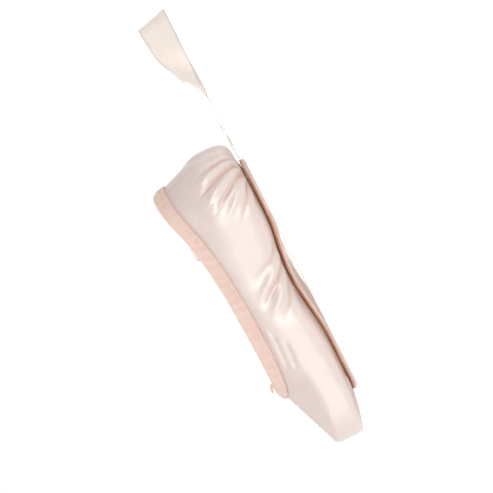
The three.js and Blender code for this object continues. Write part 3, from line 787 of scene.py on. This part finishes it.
# upper: satin outside, lining inside, with the folds that lasting and wear leave in it
upper = {
    "rounds": 520, "toeExtra": 1.6, "heelExtra": 0.9, "extraReach": 55,
    "outerSteps": (26, 26, 16, 26, 36), "innerSteps": (3, 5, 3, 5, 6),
    "seam": {"depth": 0.5, "width": 0.7, "ridge": 0.28, "ridgeAt": 1.9, "ridgeWidth": 1.1},
    "pucker": {"height": 0.3, "every": 4.6, "reach": 22, "rise": 7},
    "pleats": {
        "every": 5.2, "reach": 56, "stray": 0.9, "height": 1.05, "width": 1.3, "length": 46, "shortest": 13,
        "shorten": 1.5, "lower": 0.35, "lengths": (0.85, 1.1), "heights": (0.6, 1.15), "widths": (0.85, 1.2),
        "tuckAt": 1.75, "tuckWidth": 0.75, "tuckDepth": 0.95, "fadeFrom": 0.35, "fadeOver": 0.65,
    },
    "farShift": 2.6, "farHeelShare": 0.5,    # the hidden side's folds stand a little further on
    "soleFade": (-1, 3), "topFade": (5, 6),    # from and over, for folds near the sole and under the tape
}
# folds, each a soft ridge (+) or trough (-) in millimetres on the wall:
# start and end (way along, way up), width, height, bow
heelFolds = [    # way from the back seam, way up from the sole
    (3, 2, 7, 40, 1.5, 0.8, 0.4), (5.5, 2, 13, 46, 1.6, -1.1, 0.8), (8.5, 2, 20.5, 49, 2.0, 1.35, 1.4),
    (11.5, 2, 28, 47, 1.7, -1.5, 1.7), (14.5, 2, 35, 44, 2.1, 1.45, 1.9), (18, 2, 41, 37, 1.7, -1.4, 1.7),
    (22, 1.5, 48, 30, 2.2, 1.15, 1.4), (26, 1, 55, 21, 1.8, -0.95, 1.0), (31, 1, 61, 14, 2.3, 0.65, 0.6)]
archFolds = [    # x, way up from the sole
    (-54, 3, -36, 34, 3.2, -0.7, 1.0), (-46, 2, -24, 38, 2.7, 1.6, 1.8), (-40, 2, -17, 38, 2.2, -1.35, 1.8),
    (-34, 2, -10, 36, 2.9, 1.5, 1.8), (-28, 3, -3, 30, 2.4, -0.8, 1.2), (-20, 3, 4, 22, 2.8, 0.5, 0.8)]
throatFolds = [    # x, way down from the top edge
    (-6, 11.6, 34, 11.0, 1.2, 0.55, 0.5), (-2, 14.2, 37, 13.4, 1.1, -0.6, 0.5),
    (4, 16.8, 38, 16.0, 1.3, 0.6, 0.4), (8, 19.6, 36, 19.0, 1.2, -0.5, 0.3),
    (12, 22.6, 32, 22.2, 1.4, 0.3, 0.3)]


def softFolds(along, up, rows, rising=0.2, dying=0.45):    # shares of a fold's length at its two ends
    height = np.zeros_like(along)
    for startA, startU, endA, endU, width, tall, bow in rows:
        wayA, wayU = endA - startA, endU - startU
        length = math.hypot(wayA, wayU)
        share = ((along - startA) * wayA + (up - startU) * wayU) / length ** 2
        curve = bow * 4 * share * (1 - share)
        off = ((up - startU) * wayA - (along - startA) * wayU) / length - curve
        fade = eased(share / rising) * eased((1 - share) / dying)
        height += tall * bell(off, width) * fade
    return height


def pleatHeights(toeWay, up, look):    # pleats lasted under the toe, fanning from the sole's end
    height = np.zeros_like(toeWay)
    count = int(2 * look["reach"] / look["every"])
    for k in range(count):
        middle = (k - (count - 1) / 2) * look["every"] + draw.uniform(-look["stray"], look["stray"])
        outward = abs(middle) / look["reach"]
        length = look["length"] + (look["shortest"] - look["length"]) * outward ** look["shorten"]
        length *= draw.uniform(*look["lengths"])
        tall = look["height"] * draw.uniform(*look["heights"]) * (1 - look["lower"] * outward)
        width = look["width"] * draw.uniform(*look["widths"])
        off = (toeWay - middle) * (1 if middle > 0 else -1)
        ridge = bell(off, width)
        tuck = bell(off - look["tuckAt"] * width, look["tuckWidth"] * width)
        fade = 1 - eased((up - look["fadeFrom"] * length) / (look["fadeOver"] * length))
        height += tall * (ridge - look["tuckDepth"] * tuck) * fade
    return height


def sectionSteps(counts):
    return np.concatenate([[0.0]] + [k + np.arange(1, count + 1) / count for k, count in enumerate(counts)])


def makeUpper(look):
    rounds = spacedRounds(look["rounds"], look)
    t = sectionSteps(look["outerSteps"])
    point, _, out = bodyFrame(rounds, t)
    run = np.linalg.norm(np.diff(point, axis=1), axis=-1).cumsum(1)
    run = np.concatenate([np.zeros((len(rounds), 1)), run], 1)
    fromSole, fromTop = run - last["lastingMargin"], run[:, -1:] - run
    side, distance = (np.broadcast_to(part[:, None], run.shape) for part in placeRound(rounds))
    heelWay, toeWay = side * distance, side * (halfRound - distance)
    x = point[..., 0]
    far = np.where(side > 0, 0, look["farShift"])
    seam, pucker = look["seam"], look["pucker"]
    backSeam = seam["ridge"] * bell(np.abs(heelWay) - seam["ridgeAt"], seam["ridgeWidth"])
    backSeam = backSeam - seam["depth"] * bell(heelWay, seam["width"])
    gathers = pucker["height"] * np.cos(2 * math.pi * heelWay / pucker["every"])
    nearSeam, nearSole = (heelWay / pucker["reach"]) ** 2, (np.maximum(0, fromSole) / pucker["rise"]) ** 2
    gathers = gathers * np.exp(-nearSeam - nearSole)
    heelAt = np.abs(heelWay) - far * look["farHeelShare"]
    folds = backSeam + gathers + softFolds(heelAt, fromSole, heelFolds)
    folds = folds + softFolds(x - far, fromSole, archFolds) + softFolds(x - far, fromTop, throatFolds)
    folds = folds + pleatHeights(toeWay, fromSole, look["pleats"])
    for way, (start, over) in ((fromSole, look["soleFade"]), (fromTop, look["topFade"])):
        folds = folds * eased((way - start) / over)
    outside = point + out * folds[..., None]
    tInside = sectionSteps(look["innerSteps"])[::-1]
    inPoint, _, inOut = bodyFrame(rounds, tInside)
    inside = inPoint - inOut * last["wall"]
    grid = np.concatenate([outside, inside], 1)
    steps = grid.shape[1]
    faces = gridFaces(len(rounds), steps, closed=True)
    inner = np.tile(np.arange(steps) >= len(t), len(rounds))
    # the fold heights also drive the painted shade in the satin's troughs
    marks = {"fold": np.concatenate([folds, np.zeros(inside.shape[:2])], 1)}
    piece = makePiece("satin_upper", grid, faces, [satin, lining], marks=marks, faceMaterials=inner)
    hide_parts("upper")
    print(f"upper: {len(faces) * 2} triangles")


makeUpper(upper)

# binding: tape folded over the top edge, drawn up a little by the string in it, and stitched along its hem
tape = {
    "rounds": 640, "toeExtra": 0.3, "heelExtra": 0.3, "extraReach": 60, "sideSteps": 14, "foldSteps": 10,
    "pull": {
        "height": 0.09, "every": 4.4, "longWave": 23, "shortWave": 9.7, "shortShare": 0.7, "shortPhase": 1,
        "wander": 1.6, "steady": 0.75, "vary": 0.25,
    },
    "pullAtEdge": 0.35, "pullInside": 0.5, "cordRidge": 0.3, "cordDepth": 3.2, "cordWidth": 1.3,
    "dent": 0.22, "dentWidth": 0.7, "hemTurn": 0.8, "hemGap": 0.05, "hemShare": 0.15,
    "stitch": {"above": 1.5, "every": 2.9, "length": 1.9, "thick": 0.34, "sunk": 0.05, "samples": 1600},
}


def tapePull(way, pull):    # the puckers that the string draws up
    wander = np.sin(way / pull["longWave"])
    wander = wander + pull["shortShare"] * np.sin(way / pull["shortWave"] + pull["shortPhase"])
    phase = 2 * math.pi * way / pull["every"] + pull["wander"] * wander
    return pull["height"] * np.sin(phase) * (pull["steady"] + pull["vary"] * wander)


def tapeHeight(way, depth, look):    # outside of the tape above the wall
    share = depth / binding["depth"]
    bow = np.sin(math.pi * share)
    ridge = look["cordRidge"] * bell(depth - look["cordDepth"], look["cordWidth"])
    drawn = tapePull(way, look["pull"]) * (look["pullAtEdge"] + (1 - look["pullAtEdge"]) * bow)
    swell = binding["crown"] * bow + ridge + drawn
    fromHem = binding["depth"] - depth
    sewn = look["dent"] * bell(fromHem - look["stitch"]["above"], look["dentWidth"])
    hem = look["hemShare"] + (1 - look["hemShare"]) * eased(fromHem / look["hemTurn"])
    low = last["gap"] + look["hemGap"]    # the hem turns in against the satin
    return low + (last["gap"] + binding["thickness"] - low + swell - sewn) * hem


def makeBinding(look):
    rounds = spacedRounds(look["rounds"], look)
    near, proud = last["gap"], last["gap"] + binding["thickness"]
    depth = np.linspace(binding["depth"], 0, look["sideSteps"] + 1)
    point, up, out = bodyFrame(rounds, depthToT(rounds, depth))
    way = 2 * halfRound * rounds[:, None]
    outer = point + out * tapeHeight(way, depth[None, :], look)[..., None]
    bow = np.sin(math.pi * depth / binding["depth"])[None, :]
    drawn = look["pullInside"] * np.abs(tapePull(way, look["pull"])) * bow
    inner = point - out * (last["wall"] + proud + drawn)[..., None]
    top, topUp, topOut = point[:, -1], up[:, -1], out[:, -1]
    middle = top - topOut * (last["wall"] / 2)
    turn = np.linspace(0, math.pi, look["foldSteps"] + 1)[1:-1]
    reach, rise = last["wall"] / 2 + proud, proud + binding["crown"]
    over = (middle[:, None] + topOut[:, None] * (np.cos(turn) * reach)[None, :, None]
            + topUp[:, None] * (np.sin(turn) * rise)[None, :, None])
    innerHidden = point - out * (last["wall"] + near)
    outerHidden = point + out * near
    hidden = [innerHidden[:, :1], innerHidden[:, -1:] + topUp[:, None] * near,
              outerHidden[:, -1:] + topUp[:, None] * near, outerHidden[:, :1]]
    grid = np.concatenate([outer, over, inner[:, ::-1]] + hidden, 1)
    steps = grid.shape[1]
    flat = np.append(0, np.linalg.norm(np.diff(grid, axis=1), axis=-1).mean(0).cumsum())
    chart = gridChart(np.append(way[:, 0], 2 * halfRound), np.append(flat, flat[-1] + 1))
    material = makeTape(flat[look["sideSteps"]], tapeLook)
    faces = gridFaces(len(rounds), steps, closed=True)
    piece = makePiece("binding_tape", grid, faces, [material], chart)
    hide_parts("binding")
    print(f"binding: {len(faces) * 2} triangles")


def makeBindingStitches(look):
    sewn = look["stitch"]
    rounds = np.linspace(0, 1, sewn["samples"])
    depth = np.array([binding["depth"] - sewn["above"]])
    point, _, out = (part[:, 0] for part in bodyFrame(rounds, depthToT(rounds, depth)))
    line = point + out * (tapeHeight(2 * halfRound * rounds, depth, look) - sewn["sunk"])[:, None]
    thread = makeThread("binding thread", rgb(240, 214, 202))
    makeStitches("binding_stitches", line, out, sewn, thread)


makeBinding(tape)
makeBindingStitches(tape)

# outsole: buffed leather with a sewing channel, and a brown band along the top of its edge that is dye and
# painted shade under the upper together
outsole = {
    "rounds": 480, "channelAt": 4.2, "channelWidth": 1.3, "channelDepth": 0.5,
    "edgeLift": 0.03, "topRound": 0.25,
    "stitch": {"every": 4.6, "length": 3.7, "thick": 0.5, "samples": 1200},
    "tack": {
        "x": -24, "y": 0, "width": 2.6, "proud": 0.25, "sunk": 0.12, "crown": 0.94, "rings": 7, "sides": 24},
}


def soleRing(rounds, inset, height):
    side, distance = placeRound(rounds)
    pivotX, heading, radius = planAt(distance)
    reach = radius * sectionSizes["sole"](distance) - inset
    x = pivotX + reach * np.cos(heading)
    return np.stack([x, side * reach * np.sin(heading), lift(x) + height], -1)


def crossFaces(base, count, flip):    # closes a ring by strips from side to side
    faces = []
    for i in range(count // 2):
        strip = [base + i, base + i + 1, base + (count - i - 1) % count, base + (count - i) % count]
        strip = list(dict.fromkeys(strip))
        faces.append(strip[::-1] if flip else strip)
    return faces


def stackFaces(levels, count):    # rings one above another, closed at both ends
    walls = gridFaces(levels, count, closed=False)[:, [0, 3, 2, 1]].tolist()
    return walls + crossFaces(0, count, False) + crossFaces((levels - 1) * count, count, True)


def makeOutsole(look):
    rounds = np.arange(look["rounds"]) / look["rounds"]
    at, wide, deep = look["channelAt"], look["channelWidth"], look["channelDepth"]
    bevel, thick, soft = last["soleBevel"], last["soleThickness"], look["topRound"]
    levels = [    # inset, height, share of the brown dye and painted shade
        (at + wide, 0, 0), (at + wide * 0.75, deep, 0), (at + wide * 0.25, deep, 0), (at, 0, 0),
        (bevel * 1.6, 0, 0), (bevel, look["edgeLift"], 0), (bevel * 0.45, bevel * 0.3, 0),
        (bevel * 0.1, bevel * 0.7, 0), (0, bevel, 0), (0, thick * 0.5, 0.1), (0, thick * 0.62, 0.9),
        (0, thick - soft, 1), (soft, thick, 1)]
    rings = [soleRing(rounds, inset, height) for inset, height, _ in levels]
    dyeAndShade = np.repeat([dye for _, _, dye in levels], len(rounds))
    piece = makePiece("leather_outsole", np.stack(rings), stackFaces(len(levels), len(rounds)),
                      [makeSoleLeather(leatherLook)], marks={"edge": dyeAndShade})
    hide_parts("outsole")
    print("outsole made")


def makeChannelStitches(look):
    rounds = np.linspace(0, 1, look["stitch"]["samples"])
    line = soleRing(rounds, look["channelAt"] + look["channelWidth"] / 2, look["channelDepth"])
    down = np.tile([0.0, 0, -1], (len(rounds), 1))
    thread = makeThread("sole thread", rgb(222, 190, 165))
    makeStitches("sole_stitches", line, down, look["stitch"], thread)


tackLook = {
    "noises": {"stain": (900, 2)}, "tones": ("stain", (0.35, 0.7), rgb(92, 78, 70), rgb(126, 108, 96)),
}


def makeTack(look):    # small flat head in the waist of the sole
    share = np.linspace(0, 1, look["rings"])
    turn = turns(look["sides"])
    radius = look["width"] / 2 * np.cos(share * math.pi / 2 * look["crown"])
    seat = lift(np.array(look["x"])) + look["sunk"]
    height = seat - (look["proud"] + look["sunk"]) * np.sin(share * math.pi / 2)
    x, y = (look[axis] + radius[:, None] * way(turn) for axis, way in (("x", np.cos), ("y", np.sin)))
    rings = np.stack([x, y, np.broadcast_to(height[:, None], x.shape)], -1)
    steel = Shade("tack steel", tackLook, Roughness=0.45, Metallic=0.8).finish()
    piece = makePiece("sole_tack", rings, tubeFaces(len(share), len(turn), flip=True), [steel])
    print("tack made")


makeOutsole(outsole)
makeChannelStitches(outsole)
makeTack(outsole["tack"])

# insole: the board inside, covered with canvas
insole = {
    "rounds": 360, "thickness": 1.2, "overlap": 3.5, "reach": 0.9,
    "edgeRound": 0.45, "roundIn": 0.35, "roundDown": 0.3,
}


def makeInsole(look):
    rounds = np.arange(look["rounds"]) / look["rounds"]
    rim, _, rimOut = (part[:, 0] for part in bodyFrame(rounds, np.zeros(1)))
    onward = np.roll(rim, -1, 0) - np.roll(rim, 1, 0)
    inward = unit(np.stack([onward[:, 1], -onward[:, 0], np.zeros(len(rounds))], -1))
    plug = rim - rimOut * last["wall"] + inward * last["gap"]
    _, distance = placeRound(rounds)
    under = np.linalg.norm(sectionPoint(distance, 1.0) - sectionPoint(distance, 0.0), axis=-1)
    share = np.minimum(look["reach"], look["overlap"] / under)
    place, _, placeOut = (part[:, 0] for part in bodyFrame(rounds, share[:, None]))
    plate = place - placeOut * (last["wall"] + last["gap"])
    foot = np.column_stack([plug[:, :2], rim[:, 2]])
    soft, thick = look["edgeRound"], look["thickness"]
    rings = [foot, plug + (0, 0, last["gap"]), plate, plate + (0, 0, thick - soft),
             plate + inward * soft * look["roundIn"] + (0, 0, thick - soft * look["roundDown"]),
             plate + inward * soft + (0, 0, thick)]
    piece = makePiece("canvas_insole", np.stack(rings), stackFaces(len(rings), len(rounds)), [lining])
    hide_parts("insole")
    print("insole made")


makeInsole(insole)

# stage: pale floor that runs out to white, and soft light
stage = {
    "floorHalf": 6.0, "floor": (0.62, 0.62, 0.625), "glow": 0.42, "fadeFrom": 0.25, "fadeTo": 0.7,
    "horizon": 1.0, "overhead": 0.56, "bandTop": 0.16, "bandEnd": 0.28,
}
lights = [    # name, place, aim, width, height, power, colour
    ("heel side", (-1.3, 1.3, 0.26), (-0.06, 0, 0.03), 0.5, 0.4, 2.2, (1, 0.99, 0.98)),
    ("front", (-0.04, 1.6, 0.1), (0, 0, 0.02), 1.3, 0.18, 3.8, (1, 1, 1)),
    ("toe side", (1.19, 1.19, 0.1), (0.03, 0, 0.02), 0.9, 0.18, 1.2, (1, 1, 1)),
    ("above", (0.1, 0.3, 1.8), (0, 0, 0.03), 0.8, 0.8, 13.5, (1, 0.99, 0.97)),
    ("back", (0.93, -1.43, 0.5), (0, 0, 0.03), 1.0, 0.6, 6, (1, 1, 1)),
]


def makeStage(look):
    half = look["floorHalf"]
    mesh = bpy.data.meshes.new("floor")
    corners = [(x * half, y * half, 0) for x, y in ((-1, -1), (1, -1), (1, 1), (-1, 1))]
    mesh.from_pydata(corners, [], [(0, 1, 2, 3)])
    floor = bpy.data.objects.new("floor", mesh)
    bpy.context.collection.objects.link(floor)
    shade = Shade("floor", Roughness=0.6, Specular_IOR_Level=0.2, Emission_Strength=1)
    place = shade.place()
    away = shade.node("ShaderNodeVectorMath", {"operation": "LENGTH"}, {0: place}, out="Value")
    bright = away.between(look["fadeFrom"], look["fadeTo"])
    shade.to("Base Color", shade.blend(bright, look["floor"], (0, 0, 0)))
    shade.to("Emission Color", shade.blend(bright, (look["glow"],) * 3, (1, 1, 1)))
    mesh.materials.append(shade.material)
    world = bpy.data.worlds.new("sky")
    bpy.context.scene.world = world
    sky = Shade("sky", owner=world, surface="Background", Strength=1)
    height = sky.split(sky.node("ShaderNodeTexCoord", out="Generated"))[2]
    tone = height.between(look["bandTop"], look["bandEnd"])
    sky.to("Color", sky.blend(tone, (look["horizon"],) * 3, (look["overhead"],) * 3))


def makeLights(rows):
    for name, place, aim, width, height, power, colour in rows:
        data = bpy.data.lights.new(name, "AREA")
        data.shape, data.size, data.size_y = "RECTANGLE", width, height
        data.energy, data.color = power, colour
        placeAimed(name, data, place, aim).visible_camera = False


makeStage(stage)
makeLights(lights)
bpy.context.scene.view_settings.view_transform = "Standard"
bpy.context.scene.cycles.use_denoising = True
print("stage lit")
